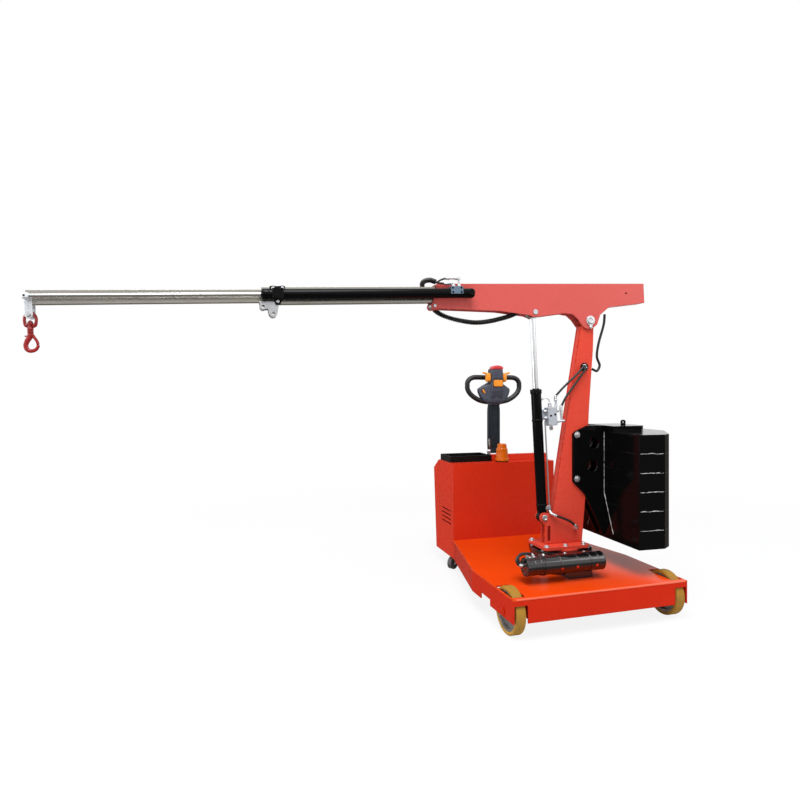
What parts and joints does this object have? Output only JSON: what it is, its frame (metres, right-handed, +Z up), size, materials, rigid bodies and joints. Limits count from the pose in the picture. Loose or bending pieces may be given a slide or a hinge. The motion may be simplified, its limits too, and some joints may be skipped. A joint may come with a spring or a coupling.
{
  "type": "counterbalanced jib crane",
  "caption": "Battery-electric counterbalanced floor crane with a slewing column, a luffing and telescoping boom, a swivel hook and tiller steering",
  "frame": {"origin": "on the floor, on the slewing axis of the column", "axes": "+Z up, the boom points along -X at rest, the tiller and drive box are at +Y"},
  "size_m": [3.2522, 1.45, 1.8019],
  "materials": {
    "red_paint": "gloss",
    "black_paint": "gloss",
    "black_plastic": "satin",
    "grey_plastic": "matte",
    "grip_rubber": "matte",
    "button_red": "gloss",
    "switch_orange": "gloss",
    "beacon_orange": "gloss",
    "hose_rubber": "satin",
    "tread": "satin",
    "caster_tread": "satin",
    "cast_hub": "satin",
    "zinc": "satin",
    "chromed_rod": "gloss",
    "alloy_block": "satin",
    "pad_plastic": "matte",
    "hook_red": "gloss"
  },
  "bodies": {
    "chassis": {"deck": "red_paint", "skirts": "red_paint", "frame_rails": "red_paint", "drive_housing": "red_paint", "top_tray": "black_plastic", "tiller_plinth": "red_paint", "beacon_base": "black_plastic", "beacon_lens": "beacon_orange", "slew_housing": "black_paint", "slew_motor": "black_paint", "motor_hose": "hose_rubber"},
    "front_wheel_left": {"wheel_left": "cast_hub", "tyre_left": "tread"},
    "front_wheel_right": {"wheel_right": "cast_hub", "tyre_right": "tread"},
    "caster_swivel_left": {"caster_fork_left": "zinc"},
    "caster_roll_left": {"caster_wheel_left": "caster_tread"},
    "caster_swivel_right": {"caster_fork_right": "zinc"},
    "caster_roll_right": {"caster_wheel_right": "caster_tread"},
    "steering": {"drive_unit": "black_paint", "steering_post": "zinc"},
    "tiller": {"tiller_stem": "black_plastic", "tiller_head": "grey_plastic", "tiller_grips": "grip_rubber", "thumb_switches": "switch_orange", "belly_button": "button_red"},
    "superstructure": {"turntable": "red_paint", "column": "red_paint", "foot_pin": "zinc", "grommet": "grip_rubber", "cheek_plates": "black_paint", "weight_slabs_a": "black_paint", "weight_slabs_b": "black_paint", "weight_cover": "black_paint", "lifting_eye": "zinc", "valve_hose_near": "hose_rubber", "valve_hose_far": "hose_rubber", "rear_cable": "hose_rubber", "foot_hose": "hose_rubber"},
    "luff_cylinder": {"luff_barrel": "black_paint", "luff_pipe": "zinc", "valve_block": "alloy_block"},
    "luff_ram": {"luff_rod": "chromed_rod"},
    "boom": {"beam": "red_paint", "boom_pins": "zinc", "outer_tube": "zinc", "wear_pads": "pad_plastic", "tube_clamp": "black_paint", "lug_plate": "zinc", "telescope_barrel": "black_paint", "port_block": "alloy_block", "port_pipes": "zinc", "boom_conduit": "hose_rubber"},
    "inner_boom": {"inner_tube": "zinc", "telescope_rod": "chromed_rod", "tip_bracket": "zinc"},
    "hook_link": {"hook_ring": "hook_red"},
    "hook": {"hook_body": "hook_red"},
    "hook_gate": {"hook_jaw": "hook_red"}
  },
  "joints": [
    {"name": "slew", "type": "hinge", "parent": "chassis", "child": "superstructure", "pos_m": [0, 0, 0.33], "axis": [0, 0, 1], "range_deg": [-170, 170]},
    {"name": "luff", "type": "hinge", "parent": "superstructure", "child": "boom", "pos_m": [0.169, 0, 1.577], "axis": [0, 1, 0], "range_deg": [-7, 43], "deforming": ["rear_cable"]},
    {"name": "luff_cylinder_tilt", "type": "hinge", "parent": "superstructure", "child": "luff_cylinder", "pos_m": [-0.112, 0, 0.487], "axis": [0, 1, 0], "range_deg": [-0.84, 5.16], "deforming": ["valve_hose_near", "valve_hose_far", "foot_hose"]},
    {"name": "luff_ram_slide", "type": "slide", "parent": "luff_cylinder", "child": "luff_ram", "axis": [-0.0562, 0, 0.9984], "range_m": [-0.0378, 0.2322]},
    {"name": "telescope", "type": "slide", "parent": "boom", "child": "inner_boom", "axis": [-0.9986, 0, -0.0523], "range_m": [-0.88, 0]},
    {"name": "hook_swing", "type": "hinge", "parent": "inner_boom", "child": "hook_link", "pos_m": [-2.59022, 0, 1.509], "axis": [0, 1, 0], "range_deg": [-50, 50]},
    {"name": "hook_swivel", "type": "hinge", "parent": "hook_link", "child": "hook", "pos_m": [-2.59022, 0, 1.449], "axis": [0, 0, 1], "continuous": true},
    {"name": "hook_gate", "type": "hinge", "parent": "hook", "child": "hook_gate", "pos_m": [-2.58322, 0, 1.4243], "axis": [0, -1, 0], "range_deg": [0, 35]},
    {"name": "steer", "type": "hinge", "parent": "chassis", "child": "steering", "pos_m": [0, 0.846, 0], "axis": [0, 0, 1], "range_deg": [-90, 90]},
    {"name": "tiller_tilt", "type": "hinge", "parent": "steering", "child": "tiller", "pos_m": [0, 0.846, 0.762], "axis": [-1, 0, 0], "range_deg": [0, 70]},
    {"name": "front_wheel_left_spin", "type": "hinge", "parent": "chassis", "child": "front_wheel_left", "pos_m": [-0.455, -0.288, 0.115], "axis": [1, 0, 0], "continuous": true},
    {"name": "front_wheel_right_spin", "type": "hinge", "parent": "chassis", "child": "front_wheel_right", "pos_m": [0.455, -0.288, 0.115], "axis": [1, 0, 0], "continuous": true},
    {"name": "caster_left_swivel", "type": "hinge", "parent": "chassis", "child": "caster_swivel_left", "pos_m": [-0.3, 0.77, 0.1], "axis": [0, 0, 1], "continuous": true},
    {"name": "caster_left_spin", "type": "hinge", "parent": "caster_swivel_left", "child": "caster_roll_left", "pos_m": [-0.34714, 0.74167, 0.04], "axis": [0.515, -0.8572, 0], "continuous": true},
    {"name": "caster_right_swivel", "type": "hinge", "parent": "chassis", "child": "caster_swivel_right", "pos_m": [0.3, 0.77, 0.1], "axis": [0, 0, 1], "continuous": true},
    {"name": "caster_right_spin", "type": "hinge", "parent": "caster_swivel_right", "child": "caster_roll_right", "pos_m": [0.34714, 0.74167, 0.04], "axis": [0.515, 0.8572, 0], "continuous": true}
  ],
  "couplings": [
    {"joint": "luff_cylinder_tilt", "follows": "luff", "ratio": 0.12},
    {"joint": "luff_ram_slide", "follows": "luff", "m_per_rad": 0.3094}
  ]
}
